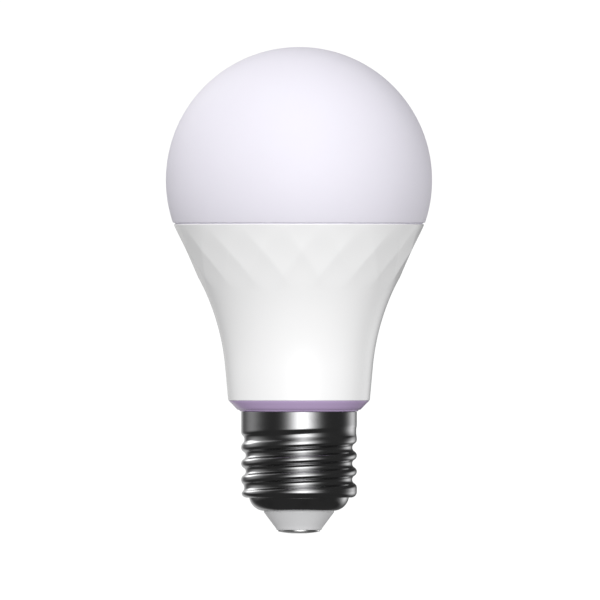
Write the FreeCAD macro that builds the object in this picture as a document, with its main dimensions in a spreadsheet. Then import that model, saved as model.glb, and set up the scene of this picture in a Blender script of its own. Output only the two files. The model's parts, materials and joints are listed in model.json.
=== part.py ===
"""Smart LED bulb with an E27 screw cap, as an assembly of separate pieces.

Millimetres, +Z up, with the lamp's axis on Z and the origin at the middle of the contact's end face.
The lamp is sealed and nothing in it moves. Every driving size is a named cell of the sheet.
"""

import FreeCAD, Part
import math
import os

import Sketcher

DRIVING_SIZES = {
    # Centre contact
    "contact_margin": 0.46,
    "contact_height": 0.75,
    "contact_edge_height": 0.42,
    "contact_dome_radius": 22.0,
    "contact_flat_radius": 1.7,
    "contact_stem_radius": 1.2,
    "contact_stem_height": 7.6,
    # Insulator round the contact
    "insulator_height": 4.34,
    "insulator_foot_radius": 5.22,
    "insulator_foot_round": 0.375,
    "insulator_seat_width": 0.36,
    "insulator_rim_height": 0.32,
    "insulator_neck_height": 3.0,
    # Screw shell
    "shell_height": 22.31,
    "shell_radius": 13.1,
    "shell_wall": 0.3,
    "shell_lip_width": 0.17,
    "shell_corner_round": 1.3,
    "shell_ledge_width": 0.6,
    "shoulder_round": 2.16,
    "shoulder_turn": 24.0,
    "bowl_round": 3.58,
    "thread_pitch": 3.629,
    "thread_depth": 1.05,
    "thread_root_drop": 4.07,
    "thread_runout": 4.7,
    "thread_lead_in": 2.13,
    "thread_margin": 0.5,
    "thread_relief": 0.05,
    "band_height": 3.9,
    # Collar and its spigot inside the shell
    "collar_height": 2.7,
    "collar_overhang": 0.3,
    "collar_gap": 0.25,
    "collar_foot_height": 0.38,
    "collar_foot_chamfer": 0.6,
    "collar_inset": 0.19,
    "spigot_wall": 1.75,
    "spigot_length": 15.4,
    "sleeve_height": 5.0,
    # Housing
    "housing_height": 39.96,
    "housing_foot_radius": 16.04,
    "neck_height": 7.66,
    "neck_angle": 5.2,
    "flare_radius": 52.8,
    "cone_angle": 25.2,
    "housing_wall": 2.0,
    "rim_chamfer": 0.15,
    # Facets moulded below the rim
    "facet_row": 6.07,
    "facet_band": 15.15,
    "facet_depth": 0.18,
    "facet_lift": 0.24,
    "facet_relief": 0.03,
    "facet_run_in": 0.1,
    "facet_turn": -78.55,
    "rim_land": 0.25,
    # Diffuser globe
    "globe_height": 40.09,
    "globe_wall": 1.2,
    "globe_overhang": 0.06,
    "globe_lip_depth": 2.5,
    "globe_lip_wall": 1.5,
    "globe_foot_chamfer": 0.2,
    # Heat spreader, light board and its seal
    "spreader_wall": 1.0,
    "spreader_plate": 1.5,
    "spreader_drop": 4.5,
    "light_board_thickness": 1.2,
    "seal_width": 1.0,
    "slot_clearance": 0.4,
    # Board screws
    "screw_ring_radius": 12.0,
    "screw_radius": 1.2,
    "screw_length": 4.0,
    "screw_head_radius": 2.2,
    "screw_head_height": 1.3,
    # Light sources
    "white_ring_inset": 4.4,
    "colour_ring_radius": 9.5,
    "source_width": 2.8,
    "source_length": 3.5,
    "source_height": 0.6,
    "source_lens_radius": 1.1,
    "source_lens_height": 0.15,
    # Driver board
    "driver_board_thickness": 1.6,
    "driver_board_top_gap": 2.5,
    "driver_side_gap": 1.0,
    "driver_tongue_length": 17.5,
    "driver_plug_width": 6.0,
    "socket_width": 8.0,
    "socket_depth": 4.0,
    "socket_height": 2.8,
    # Driver parts
    "transformer_width": 16.0,
    "transformer_height": 12.0,
    "transformer_leg": 2.6,
    "transformer_core_depth": 5.6,
    "transformer_coil_build": 2.4,
    "capacitor_radius": 4.2,
    "input_capacitor_length": 14.0,
    "output_capacitor_length": 12.0,
    "capacitor_crimp": 0.35,
    "film_width": 8.0,
    "film_depth": 5.0,
    "film_height": 9.0,
    "choke_radius": 3.6,
    "choke_height": 9.0,
    "choke_flange": 1.2,
    "choke_waist_radius": 2.6,
    "bridge_width": 6.2,
    "bridge_depth": 2.3,
    "bridge_height": 4.6,
    "fuse_radius": 1.6,
    "fuse_length": 8.0,
    "varistor_radius": 3.5,
    "varistor_thickness": 3.2,
    "chip_width": 4.9,
    "chip_depth": 1.5,
    "chip_height": 3.9,
    # Radio module
    "radio_board_width": 14.0,
    "radio_board_thickness": 0.8,
    "radio_board_reach": 15.0,
    "radio_board_drop": 11.0,
    "radio_header_width": 10.0,
    "radio_header_depth": 4.2,
    "radio_header_height": 2.5,
    "radio_shield_width": 11.0,
    "radio_shield_depth": 2.2,
    "radio_shield_height": 8.0,
    "radio_shield_lift": 1.0,
    "antenna_thickness": 0.1,
    "antenna_track": 0.6,
    "antenna_height": 3.6,
    # Inner leads
    "lead_radius": 0.4,
    "live_lead_offset": 2.0,
    "neutral_lead_offset": 3.0,
    # Clearances
    "fit_clearance": 0.1,
    "board_clearance": 0.3,
}

WHITE_PAIRS = 8
COLOUR_SOURCES = 3
THREAD_COLUMNS = 24
THREAD_ROWS_PER_PITCH = 14
FACETS = 18
FACET_STEPS = 5
ANTENNA_BARS = 5


class Size:
    """A length or a ratio: its value now, and the sheet expression that gives it."""

    def __init__(self, value, text=None):
        self.value = float(value)
        self.text = text if text else repr(float(value))

    @staticmethod
    def of(item):
        return item if isinstance(item, Size) else Size(item)

    def combine(self, other, sign, result):
        return Size(result, f"({self.text} {sign} {Size.of(other).text})")

    def __add__(self, other):
        return self.combine(other, "+", self.value + Size.of(other).value)

    def __sub__(self, other):
        return self.combine(other, "-", self.value - Size.of(other).value)

    def __mul__(self, other):
        return self.combine(other, "*", self.value * Size.of(other).value)

    def __truediv__(self, other):
        return self.combine(other, "/", self.value / Size.of(other).value)

    def __radd__(self, other):
        return Size.of(other) + self

    def __rsub__(self, other):
        return Size.of(other) - self

    def __rmul__(self, other):
        return Size.of(other) * self

    def __rtruediv__(self, other):
        return Size.of(other) / self

    def __neg__(self):
        return Size(-self.value, f"(-1 * {self.text})")


def root(item):
    return Size(math.sqrt(item.value), f"sqrt({item.text})")


def sine(angle):
    angle = Size.of(angle)
    return Size(math.sin(math.radians(angle.value)), f"sin({angle.text})")


def cosine(angle):
    angle = Size.of(angle)
    return Size(math.cos(math.radians(angle.value)), f"cos({angle.text})")


def tangent(angle):
    angle = Size.of(angle)
    return Size(math.tan(math.radians(angle.value)), f"tan({angle.text})")


class Measures:
    """The sheet's cells, each read by its alias as a Size."""

    def __init__(self, document):
        sheet = document.addObject("Spreadsheet::Sheet", "Sizes")
        for row, (alias, value) in enumerate(DRIVING_SIZES.items(), start=1):
            sheet.set(f"A{row}", alias.replace("_", " "))
            sheet.set(f"B{row}", str(value))
            sheet.setAlias(f"B{row}", alias)
        document.recompute()
        for alias in DRIVING_SIZES:
            setattr(self, alias, Size(sheet.get(alias), f"Sizes.{alias}"))


doc = FreeCAD.newDocument("smart_light_bulb")
mm = Measures(doc)
pieces = []

# ---------------------------------------------------------------------------------------------
# Sketch and feature helpers
# ---------------------------------------------------------------------------------------------


def bind(item, prop, size):
    """Drive a property from the sheet, or set it where the size is a plain number."""
    size = Size.of(size)
    item.setExpression(prop, size.text)


def fix_coordinate(sketch, kind, curve, end, size):
    """Hold one coordinate of a sketch point at a size, or on the axis where that size is zero."""
    axis = -2 if kind == "DistanceX" else -1
    if size.text == Size(0).text:
        sketch.addConstraint(Sketcher.Constraint("PointOnObject", curve, end, axis))
        return
    number = sketch.addConstraint(Sketcher.Constraint(kind, curve, end, size.value))
    sketch.setExpression(f"Constraints[{number}]", size.text)


def fix_radius(sketch, curve, size):
    number = sketch.addConstraint(Sketcher.Constraint("Radius", curve, size.value))
    sketch.setExpression(f"Constraints[{number}]", size.text)


def arc_between(start, end, radius):
    """The arc shorter than a half turn from start to end; a positive radius turns anticlockwise."""
    chord = end - start
    side = FreeCAD.Vector(-chord.y, chord.x, 0).normalize()
    reach = math.sqrt(max(radius * radius - chord.Length ** 2 / 4, 0))
    centre = (start + end) / 2 + side * math.copysign(reach, radius)
    middle = centre - side * radius
    return Part.Arc(start, middle, end)


def draw_outline(sketch, corners):
    """Draw a closed outline. A corner is (x, y), or (x, y, radius) where an arc leads to it."""
    corners = [tuple(Size.of(part) for part in corner) for corner in corners]
    points = [FreeCAD.Vector(corner[0].value, corner[1].value, 0) for corner in corners]
    first = sketch.GeometryCount
    for index, corner in enumerate(corners):
        start, end = points[index - 1], points[index]
        if len(corner) == 3:
            sketch.addGeometry(arc_between(start, end, corner[2].value), False)
        else:
            sketch.addGeometry(Part.LineSegment(start, end), False)
    for index, corner in enumerate(corners):
        curve = first + index
        # An arc always runs anticlockwise, so a clockwise one ends at its first point.
        clockwise = len(corner) == 3 and corner[2].value < 0
        end = 1 if clockwise else 2
        after = (index + 1) % len(corners)
        next_clockwise = len(corners[after]) == 3 and corners[after][2].value < 0
        next_start = 2 if next_clockwise else 1
        sketch.addConstraint(Sketcher.Constraint("Coincident", curve, end, first + after, next_start))
        fix_coordinate(sketch, "DistanceX", curve, end, corner[0])
        fix_coordinate(sketch, "DistanceY", curve, end, corner[1])
        if len(corner) == 3:
            fix_radius(sketch, curve, corner[2] if corner[2].value > 0 else -corner[2])


def draw_circle(sketch, x, y, radius):
    x, y, radius = Size.of(x), Size.of(y), Size.of(radius)
    centre = FreeCAD.Vector(x.value, y.value, 0)
    curve = sketch.addGeometry(Part.Circle(centre, FreeCAD.Vector(0, 0, 1), radius.value), False)
    fix_coordinate(sketch, "DistanceX", curve, 3, x)
    fix_coordinate(sketch, "DistanceY", curve, 3, y)
    fix_radius(sketch, curve, radius)


def new_body(label):
    body = doc.addObject("PartDesign::Body", label)
    body.Label = label
    pieces.append(body)
    return body


def new_sketch(body, plane, offset=0):
    """A sketch on one of the body's own planes, moved along that plane's normal."""
    sketch = body.newObject("Sketcher::SketchObject", "Sketch")
    origin_plane = [item for item in body.Origin.OriginFeatures if item.Role == plane]
    sketch.AttachmentSupport = (origin_plane[0], [""])
    sketch.MapMode = "FlatFace"
    bind(sketch, "AttachmentOffset.Base.z", offset)
    return sketch


def revolve(label, corners, body=None):
    """A ring or solid of revolution about Z, from an outline of (radius, height) corners."""
    body = body or new_body(label)
    sketch = new_sketch(body, "XZ_Plane")
    draw_outline(sketch, corners)
    feature = body.newObject("PartDesign::Revolution", "Revolution")
    feature.Profile = sketch
    feature.ReferenceAxis = (sketch, ["V_Axis"])
    feature.Angle = 360
    return body


def pad(body, plane, offset, length, outlines, circles=()):
    """Raise outlines and circles from a plane; an inner loop is a hole."""
    sketch = new_sketch(body, plane, offset)
    for outline in outlines:
        draw_outline(sketch, outline)
    for circle in circles:
        draw_circle(sketch, *circle)
    feature = body.newObject("PartDesign::Pad", "Pad")
    feature.Profile = sketch
    bind(feature, "Length", length)
    return feature


def pocket(body, plane, offset, length, outlines, circles=()):
    """Cut outlines and circles into the body, from a plane against its normal."""
    sketch = new_sketch(body, plane, offset)
    for outline in outlines:
        draw_outline(sketch, outline)
    for circle in circles:
        draw_circle(sketch, *circle)
    feature = body.newObject("PartDesign::Pocket", "Pocket")
    feature.Profile = sketch
    bind(feature, "Length", length)
    return feature


def rectangle(low_x, low_y, high_x, high_y):
    return [(low_x, low_y), (high_x, low_y), (high_x, high_y), (low_x, high_y)]


def centred_rectangle(x, y, width, height):
    return rectangle(x - width / 2, y - height / 2, x + width / 2, y + height / 2)


def place(piece, x, y, z, turn=0.0):
    """Move a piece made about its own origin to its place, turned about Z by some degrees."""
    piece.Placement = FreeCAD.Placement(FreeCAD.Vector(), FreeCAD.Rotation(FreeCAD.Vector(0, 0, 1), turn))
    bind(piece, "Placement.Base.x", x)
    bind(piece, "Placement.Base.y", y)
    bind(piece, "Placement.Base.z", z)


# ---------------------------------------------------------------------------------------------
# Heights and radii that pieces share
# ---------------------------------------------------------------------------------------------

lip_z = mm.contact_height + mm.insulator_height
shoulder_drop = mm.shoulder_round * sine(mm.shoulder_turn)
bowl_drop = mm.bowl_round * (1 - sine(mm.shoulder_turn))
ledge_z = lip_z + shoulder_drop + bowl_drop
thread_low_z = ledge_z + mm.shell_corner_round
shell_top_z = lip_z + mm.shell_height
thread_high_z = shell_top_z - mm.band_height
shell_bore_radius = mm.shell_radius - mm.thread_depth - mm.shell_wall
shoulder_radius = mm.shell_radius - mm.shell_corner_round - mm.shell_ledge_width
bowl_rim_radius = shoulder_radius - mm.shoulder_round * (1 - cosine(mm.shoulder_turn))
bowl_radius = bowl_rim_radius - mm.bowl_round * cosine(mm.shoulder_turn)
mouth_radius = bowl_radius - mm.shell_lip_width
collar_bore_radius = shell_bore_radius - mm.fit_clearance - mm.spigot_wall
band_bore_radius = mm.shell_radius - mm.shell_wall
foot_z = shell_top_z + mm.collar_height
neck_z = foot_z + mm.neck_height
rim_z = foot_z + mm.housing_height
sleeve_top_z = foot_z + mm.sleeve_height
facet_high_z = rim_z - mm.rim_land
facet_low_z = facet_high_z - mm.facet_band
plate_z = rim_z - mm.spreader_drop
light_z = plate_z + mm.light_board_thickness
board_half = mm.driver_board_thickness / 2

# The housing wall runs up a drafted neck, a flare and a straight cone, each tangent to the next.
neck_radius = mm.housing_foot_radius + mm.neck_height * tangent(mm.neck_angle)
cone_z = neck_z + mm.flare_radius * (sine(mm.cone_angle) - sine(mm.neck_angle))
cone_radius = neck_radius + mm.flare_radius * (cosine(mm.neck_angle) - cosine(mm.cone_angle))


def neck_line(depth, z):
    """Radius at a height of the neck's straight line, moved inwards by a depth."""
    return mm.housing_foot_radius - depth / cosine(mm.neck_angle) + (z - foot_z) * tangent(mm.neck_angle)


def cone_line(depth, z):
    """Radius at a height of the cone's straight line, moved inwards by a depth."""
    return cone_radius - depth / cosine(mm.cone_angle) + (z - cone_z) * tangent(mm.cone_angle)


def flare_low(depth):
    return neck_radius - depth * cosine(mm.neck_angle), neck_z + depth * sine(mm.neck_angle)


def flare_high(depth):
    return cone_radius - depth * cosine(mm.cone_angle), cone_z + depth * sine(mm.cone_angle)


# ---------------------------------------------------------------------------------------------
# Walls whose radius follows a formula round the axis
# ---------------------------------------------------------------------------------------------


def wave_skin(radius_at, low, high, columns, spans):
    """A closed cubic surface r = radius_at(turn, z): its poles are wall points less a sixth of the bend there."""
    step = (high - low) / spans
    heights = [low, low + step / 3] + [low + step * row for row in range(1, spans)] + [high - step / 3, high]

    def wall_point(column, z):
        angle = 2 * math.pi * column / columns
        radius = radius_at(column / columns, z)
        return FreeCAD.Vector(radius * math.cos(angle), radius * math.sin(angle), z)

    def along(column, z):
        here = wall_point(column, z)
        return here - (wall_point(column, z - step) - here * 2 + wall_point(column, z + step)) / 6

    poles = []
    for column in range(-1, columns - 1):
        poles.append([])
        for z in heights:
            here = along(column, z)
            poles[-1].append(here - (along(column - 1, z) - here * 2 + along(column + 1, z)) / 6)
    surface = Part.BSplineSurface()
    surface.buildFromPolesMultsKnots(
        poles, [1] * (columns + 1), [4] + [1] * (spans - 1) + [4],
        [float(knot) for knot in range(columns + 1)], [float(knot) for knot in range(spans + 1)],
        True, False, 3, 3)
    return surface.toShape()


def wave_cutter(label, radius_at, low, high, columns, spans):
    """The solid that such a wall leaves free: a plain ring, less the shaped core inside it."""
    skin = wave_skin(radius_at, low, high, columns, spans)
    ends = [Part.Face(Part.Wire([edge])) for edge in skin.Edges if edge.BoundBox.ZLength < 1e-6]
    core = Part.makeShell([skin] + ends)
    core.sewShape()
    reach = skin.BoundBox.XMax + 1
    ring = Part.makeCylinder(reach, high - low, FreeCAD.Vector(0, 0, low))
    cutter = doc.addObject("Part::Feature", label)
    cutter.Shape = ring.cut(Part.makeSolid(core))
    return cutter


def cut_to_wave(label, blank, cutter):
    """The blank, whose outer wall the cutter shapes."""
    pieces.remove(blank)
    piece = doc.addObject("Part::Cut", label)
    piece.Base = blank
    piece.Tool = cutter
    pieces.append(piece)


# ---------------------------------------------------------------------------------------------
# Screw cap
# ---------------------------------------------------------------------------------------------


def make_centre_contact():
    """A shallow domed button on a stem that goes up through the insulator."""
    radius = mm.insulator_foot_radius - mm.contact_margin
    revolve("centre_contact", [
        (0, 0),
        (mm.contact_flat_radius, 0),
        (radius, mm.contact_edge_height, mm.contact_dome_radius),
        (radius, mm.contact_height),
        (mm.contact_stem_radius, mm.contact_height),
        (mm.contact_stem_radius, mm.contact_height + mm.contact_stem_height),
        (0, mm.contact_height + mm.contact_stem_height),
    ])


def make_base_insulator():
    """A cone frustum whose neck fills the mouth of the shell."""
    bore = mm.contact_stem_radius + mm.fit_clearance
    neck = mouth_radius - mm.fit_clearance
    round_radius = mm.insulator_foot_round
    rim = mouth_radius + mm.insulator_seat_width
    revolve("base_insulator", [
        (bore, mm.contact_height),
        (mm.insulator_foot_radius - round_radius, mm.contact_height),
        (mm.insulator_foot_radius, mm.contact_height + round_radius, round_radius),
        (rim, lip_z - mm.insulator_rim_height),
        (rim, lip_z),
        (neck, lip_z),
        (neck, lip_z + mm.insulator_neck_height),
        (bore, lip_z + mm.insulator_neck_height),
    ])


def thread_profile(phase):
    """Depth of a rounded knuckle thread, 0 on a crest to 1 at a root, from two tangent arcs."""
    half_pitch = mm.thread_pitch.value / 2
    depth = mm.thread_depth.value
    arc = (half_pitch ** 2 + depth ** 2) / (4 * depth)
    away = abs((phase + 0.5) % 1 - 0.5) * mm.thread_pitch.value
    if away > half_pitch / 2:
        away = half_pitch - away
        return (arc - math.sqrt(arc ** 2 - away ** 2)) / depth
    return 1 - (arc - math.sqrt(arc ** 2 - away ** 2)) / depth


def thread_radius(turn, z):
    """Outer radius at an angle (in turns) and a height. A groove grows shallow as its own root nears an end."""
    low, high, margin = thread_low_z.value, thread_high_z.value, mm.thread_margin.value
    phase = (z - (high - mm.thread_root_drop.value)) / mm.thread_pitch.value - turn
    root_z = z - (phase - round(phase)) * mm.thread_pitch.value
    along = min((root_z - low) / mm.thread_lead_in.value, (high - root_z) / mm.thread_runout.value, 1)
    edge = min(z - low - margin, high - margin - z, margin) / margin
    crest = mm.shell_radius.value - mm.thread_relief.value
    if along <= 0 or edge <= 0:
        return crest
    depth = (mm.thread_depth.value - mm.thread_relief.value) * math.sin(along * math.pi / 2)
    return crest - depth * thread_profile(phase) * math.sin(edge * math.pi / 2) ** 2


def make_thread_cutter():
    low, high = thread_low_z.value, thread_high_z.value
    spans = math.ceil((high - low) / mm.thread_pitch.value * THREAD_ROWS_PER_PITCH)
    return wave_cutter("thread_cutter", thread_radius, low, high, THREAD_COLUMNS, spans)


def make_screw_shell():
    """A drawn metal cap: smooth band, right-hand knuckle thread, rounded shoulder and open mouth."""
    wall = mm.shell_wall
    turn = mm.shoulder_turn
    corner_radius = mm.shell_radius - mm.shell_corner_round
    step_z = thread_high_z - mm.thread_depth
    rim_drop_z = ledge_z - shoulder_drop
    blank = revolve("shell_blank", [
        (mm.shell_radius, shell_top_z),
        (band_bore_radius, shell_top_z),
        (band_bore_radius, thread_high_z),
        (shell_bore_radius, step_z),
        (shell_bore_radius, ledge_z + wall),
        (shoulder_radius - wall, ledge_z + wall),
        (shoulder_radius - wall, ledge_z),
        (bowl_rim_radius - wall * cosine(turn), rim_drop_z + wall * sine(turn), -(mm.shoulder_round - wall)),
        (bowl_radius, lip_z + wall, -(mm.bowl_round - wall)),
        (mouth_radius, lip_z + wall),
        (mouth_radius, lip_z),
        (bowl_radius, lip_z),
        (bowl_rim_radius, rim_drop_z, mm.bowl_round),
        (shoulder_radius, ledge_z, mm.shoulder_round),
        (corner_radius, ledge_z),
        (mm.shell_radius, thread_low_z, mm.shell_corner_round),
    ])
    cut_to_wave("screw_shell", blank, make_thread_cutter())


def make_collar():
    """The coloured collar, with a spigot that carries the shell and a sleeve that carries the housing."""
    spigot = shell_bore_radius - mm.fit_clearance
    band_spigot = band_bore_radius - mm.fit_clearance
    seat_radius = mm.shell_radius - mm.shell_wall / 2
    foot_radius = mm.shell_radius + mm.collar_overhang
    collar_low_z = shell_top_z + mm.collar_gap
    sleeve = neck_line(mm.housing_wall, foot_z) - mm.fit_clearance
    revolve("collar_ring", [
        (collar_bore_radius, shell_top_z - mm.spigot_length),
        (spigot, shell_top_z - mm.spigot_length),
        (spigot, thread_high_z - mm.thread_depth),
        (band_spigot, thread_high_z),
        (band_spigot, shell_top_z),
        (seat_radius, shell_top_z),
        (seat_radius, collar_low_z),
        (foot_radius, collar_low_z),
        (foot_radius + mm.collar_foot_chamfer, collar_low_z + mm.collar_foot_height),
        (mm.housing_foot_radius - mm.collar_inset, foot_z),
        (sleeve, foot_z),
        (sleeve, sleeve_top_z),
        (collar_bore_radius, sleeve_top_z),
    ])


# ---------------------------------------------------------------------------------------------
# Housing and globe
# ---------------------------------------------------------------------------------------------


def crease_hollow(place):
    """0 on a crease and 1 halfway to the next, by a parabola between them."""
    between = place % 1
    return 4 * between * (1 - between)


def facet_radius(turn, z):
    """Outer radius of the facet band: hollow cells between creases that lean both ways, fading at its ends."""
    down = facet_high_z.value - z
    place = (turn - mm.facet_turn.value / 360) * FACETS
    lean = (rim_z.value - z) / mm.facet_row.value / 2
    fade = min(max(down / mm.facet_band.value, 0), 1)
    hollow = mm.facet_depth.value * (crease_hollow(place + lean) + crease_hollow(place - lean))
    rise = (mm.facet_lift.value - hollow) * math.sin(math.pi * fade)
    wall = cone_radius.value + (z - cone_z.value) * tangent(mm.cone_angle).value
    return wall - mm.facet_relief.value + rise


def make_housing():
    """A tulip-shaped moulded shell: drafted neck, concave flare and straight cone, of even wall."""
    wall = mm.housing_wall
    outer_low, outer_high = flare_low(Size(0)), flare_high(Size(0))
    inner_low, inner_high = flare_low(wall), flare_high(wall)
    chamfer_z = rim_z - mm.rim_chamfer
    proud = -mm.facet_lift
    band_low_z = facet_low_z + mm.facet_run_in
    band_high_z = facet_high_z - mm.facet_run_in
    blank = revolve("housing_blank", [
        (neck_line(wall, foot_z), foot_z),
        (mm.housing_foot_radius, foot_z),
        outer_low,
        (*outer_high, -mm.flare_radius),
        (cone_line(Size(0), band_low_z), band_low_z),
        (cone_line(proud, band_low_z), band_low_z),
        (cone_line(proud, band_high_z), band_high_z),
        (cone_line(Size(0), band_high_z), band_high_z),
        (cone_line(Size(0), chamfer_z), chamfer_z),
        (cone_line(mm.rim_chamfer, rim_z), rim_z),
        (cone_line(wall, rim_z), rim_z),
        inner_high,
        (*inner_low, mm.flare_radius + wall),
    ])
    low, high = facet_low_z.value, facet_high_z.value
    spans = math.ceil((high - low) / mm.facet_row.value * 2 * FACET_STEPS)
    cutter = wave_cutter("facet_cutter", facet_radius, low, high, 2 * FACETS * FACET_STEPS, spans)
    cut_to_wave("housing_shell", blank, cutter)


def make_globe():
    """A thin-walled part sphere seated on the housing's rim, with a lip that plugs into it."""
    rim_radius = cone_line(Size(0), rim_z) + mm.globe_overhang
    outer_radius = (rim_radius * rim_radius + mm.globe_height * mm.globe_height) / (2 * mm.globe_height)
    inner_radius = outer_radius - mm.globe_wall
    centre_z = rim_z + mm.globe_height - outer_radius
    chamfer = mm.globe_foot_chamfer
    cut_z = rim_z + chamfer
    drop = centre_z - cut_z
    cut_radius = root(outer_radius * outer_radius - drop * drop)
    lip_low_z = rim_z - mm.globe_lip_depth
    lip_radius = cone_line(mm.housing_wall, lip_low_z) - mm.fit_clearance
    lip_bore = lip_radius - mm.globe_lip_wall
    floor_z = rim_z + mm.globe_wall
    floor_drop = centre_z - floor_z
    floor_radius = root(inner_radius * inner_radius - floor_drop * floor_drop)
    revolve("diffuser_globe", [
        (lip_radius, lip_low_z),
        (lip_radius, rim_z),
        (rim_radius - chamfer, rim_z),
        (cut_radius, cut_z),
        (0, centre_z + outer_radius, outer_radius),
        (0, centre_z + inner_radius),
        (floor_radius, floor_z, -inner_radius),
        (lip_bore, floor_z),
        (lip_bore, lip_low_z),
    ])
    revolve("diffuser_seal", [
        (seal_radius - mm.seal_width, plate_z),
        (seal_radius, plate_z),
        (seal_radius, lip_low_z),
        (seal_radius - mm.seal_width, lip_low_z),
    ])


# ---------------------------------------------------------------------------------------------
# Heat spreader and light board
# ---------------------------------------------------------------------------------------------

plug_slot_width = mm.driver_plug_width + mm.slot_clearance
plug_slot_depth = mm.driver_board_thickness + mm.slot_clearance
radio_y = board_half + mm.radio_header_depth + mm.radio_board_thickness / 2
radio_slot_width = mm.radio_board_width + mm.slot_clearance
radio_slot_depth = mm.radio_board_thickness + mm.slot_clearance
seal_radius = cone_line(mm.housing_wall, plate_z) - mm.fit_clearance
light_board_radius = seal_radius - mm.seal_width - mm.board_clearance
white_ring_radius = light_board_radius - mm.white_ring_inset
screw_holes = [(side * mm.screw_ring_radius, Size(0), mm.screw_radius + mm.fit_clearance) for side in (-1, 1)]


def board_slots():
    """The slots that the driver's plug and the radio board stand through."""
    return [
        centred_rectangle(Size(0), Size(0), plug_slot_width, plug_slot_depth),
        centred_rectangle(Size(0), radio_y, radio_slot_width, radio_slot_depth),
    ]


def make_spreader():
    """A metal cup upside down: a slotted plate, and a skirt that follows the housing wall."""
    outer = mm.housing_wall + mm.fit_clearance
    inner = outer + mm.spreader_wall
    outer_low, outer_high = flare_low(outer), flare_high(outer)
    inner_low, inner_high = flare_low(inner), flare_high(inner)
    under_z = plate_z - mm.spreader_plate
    body = revolve("heat_spreader", [
        (neck_line(inner, sleeve_top_z), sleeve_top_z),
        (neck_line(outer, sleeve_top_z), sleeve_top_z),
        outer_low,
        (*outer_high, -(mm.flare_radius + outer)),
        (cone_line(outer, plate_z), plate_z),
        (0, plate_z),
        (0, under_z),
        (cone_line(inner, under_z), under_z),
        inner_high,
        (*inner_low, mm.flare_radius + inner),
    ])
    pocket(body, "XY_Plane", plate_z, mm.spreader_plate + 1, board_slots(), screw_holes)


def make_light_board():
    body = new_body("light_board")
    disc = [(Size(0), Size(0), light_board_radius)]
    pad(body, "XY_Plane", plate_z, mm.light_board_thickness, board_slots(), disc + screw_holes)


def make_board_screws():
    for number, side in enumerate((-1, 1), start=1):
        body = revolve(f"board_screw_{number}", [
            (0, -mm.screw_length),
            (mm.screw_radius, -mm.screw_length),
            (mm.screw_radius, 0),
            (mm.screw_head_radius, 0),
            (mm.screw_head_radius, mm.screw_head_height / 2),
            (mm.screw_head_radius / 2, mm.screw_head_height),
            (0, mm.screw_head_height),
        ])
        place(body, side * mm.screw_ring_radius, 0, light_z)


def make_source(label, ring_radius, angle):
    """One light source on the board: a flat package with a round phosphor lens on it."""
    body = new_body(label)
    package = centred_rectangle(Size(0), Size(0), mm.source_length, mm.source_width)
    pad(body, "XY_Plane", Size(0), mm.source_height, [package])
    lens = [(Size(0), Size(0), mm.source_lens_radius)]
    pad(body, "XY_Plane", mm.source_height, mm.source_lens_height, [], lens)
    place(body, ring_radius * cosine(angle), ring_radius * sine(angle), light_z, angle)


def make_sources():
    """Cool and warm white sources take turns round the edge; the colour sources stand inside them."""
    for pair in range(WHITE_PAIRS):
        angle = 360 * pair / WHITE_PAIRS
        make_source(f"cool_white_led_{pair + 1}", white_ring_radius, angle)
        make_source(f"warm_white_led_{pair + 1}", white_ring_radius, angle + 180 / WHITE_PAIRS)
    for number in range(COLOUR_SOURCES):
        angle = 210 + 120 * number / (COLOUR_SOURCES - 1)
        make_source(f"colour_led_{number + 1}", mm.colour_ring_radius, angle)


# ---------------------------------------------------------------------------------------------
# Driver
# ---------------------------------------------------------------------------------------------

tongue_top_z = sleeve_top_z + mm.board_clearance
tongue_low_z = tongue_top_z - mm.driver_tongue_length
tongue_half = root(collar_bore_radius * collar_bore_radius - board_half * board_half) - mm.board_clearance
spreader_depth = mm.housing_wall + mm.fit_clearance + mm.spreader_wall
driver_half = neck_line(spreader_depth, tongue_top_z) - mm.driver_side_gap
driver_top_z = plate_z - mm.spreader_plate - mm.driver_board_top_gap
back = board_half
parts_low_z = tongue_top_z + mm.board_clearance


def make_driver_board():
    """An upright board, with a tongue down into the collar and a plug up through the light board."""
    body = new_body("driver_board")
    plug_half = mm.driver_plug_width / 2
    pad(body, "XZ_Plane", -board_half, mm.driver_board_thickness, [[
        (-tongue_half, tongue_low_z),
        (tongue_half, tongue_low_z),
        (tongue_half, tongue_top_z),
        (driver_half, tongue_top_z),
        (driver_half, driver_top_z),
        (plug_half, driver_top_z),
        (plug_half, light_z),
        (-plug_half, light_z),
        (-plug_half, driver_top_z),
        (-driver_half, driver_top_z),
        (-driver_half, tongue_top_z),
        (-tongue_half, tongue_top_z),
    ]])


def block(label, x, width, front, depth, low_z, height):
    """An upright block between two depths; front is the distance of its near face along -Y."""
    body = new_body(label)
    pad(body, "XZ_Plane", front, depth, [rectangle(x - width / 2, low_z, x + width / 2, low_z + height)])
    return body


def make_capacitor(label, side, length):
    """An upright wet capacitor: a rounded can with the crimp groove near its foot."""
    radius, crimp = mm.capacitor_radius, mm.capacitor_crimp
    body = revolve(label, [
        (0, 0),
        (radius - crimp, 0),
        (radius, crimp),
        (radius, 3 * crimp),
        (radius - crimp, 4 * crimp),
        (radius, 5 * crimp),
        (radius, length - crimp),
        (radius - crimp, length, crimp),
        (0, length),
    ])
    place(body, side * (radius + mm.fit_clearance), back + radius + mm.fit_clearance, parts_low_z)


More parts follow.
